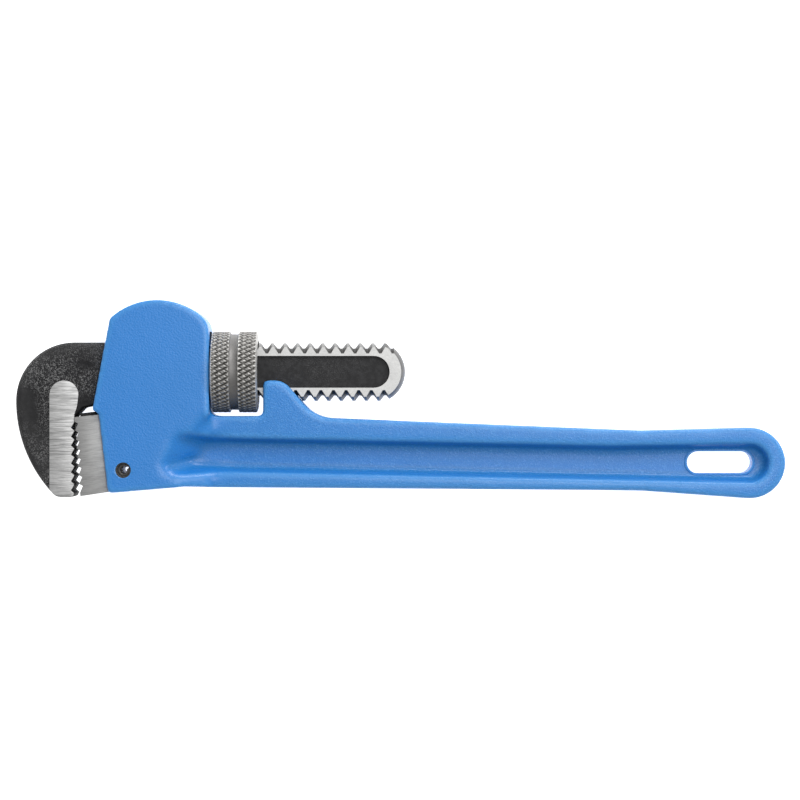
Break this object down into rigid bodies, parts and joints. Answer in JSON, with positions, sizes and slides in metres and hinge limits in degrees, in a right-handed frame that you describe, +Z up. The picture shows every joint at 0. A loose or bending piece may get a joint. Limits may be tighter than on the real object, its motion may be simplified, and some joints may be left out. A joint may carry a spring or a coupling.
{
  "type": "pipe wrench",
  "caption": "Straight pipe wrench with a cast I-beam handle, a threaded hook jaw, a knurled adjusting nut and a pinned heel jaw, lying on its side.",
  "frame": {"origin": "middle of the underside of the bounding box, with the wrench lying on its side", "axes": "+X along the handle, from the jaws to the handle's end; +Y from the handle's side to the housing's hump; +Z up through the wrench's flat side, along the pipe that it would grip"},
  "size_m": [0.3232, 0.0832, 0.0342],
  "materials": {
    "blue_paint": "blue powder coat over a cast surface",
    "black_forging": "black oxide on forged steel, with ground faces",
    "nut_steel": "gunmetal, knurled",
    "jaw_steel": "ground steel",
    "spring_steel": "blued spring steel"
  },
  "bodies": {
    "handle": {"handle": "blue_paint", "heel_jaw": "jaw_steel", "heel_jaw_pin": "spring_steel", "coil_spring": "spring_steel"},
    "spring_shoe": {"flat_spring": "spring_steel", "spring_rivet": "spring_steel"},
    "nut": {"adjusting_nut": "nut_steel"},
    "hook_jaw": {"hook_jaw": "black_forging"}
  },
  "joints": [
    {"name": "jaw_rock", "type": "hinge", "parent": "handle", "child": "spring_shoe", "pos_m": [-0.0801, -0.00555, 0.0171], "axis": [0, 0, -1], "range_deg": [0, 3], "stiffness_Nm_per_rad": 4, "springref_deg": -11.46, "deforming": ["coil_spring"]},
    {"name": "nut_spin", "type": "hinge", "parent": "spring_shoe", "child": "nut", "pos_m": [-0.0699, 0.01155, 0.0171], "axis": [1, 0, 0], "range_deg": [0, 4076]},
    {"name": "jaw_slide", "type": "slide", "parent": "spring_shoe", "child": "hook_jaw", "axis": [-1, 0, 0], "range_m": [0, 0.06]}
  ],
  "couplings": [
    {"joint": "nut_spin", "follows": "jaw_slide", "rad_per_m": 1185.5}
  ]
}
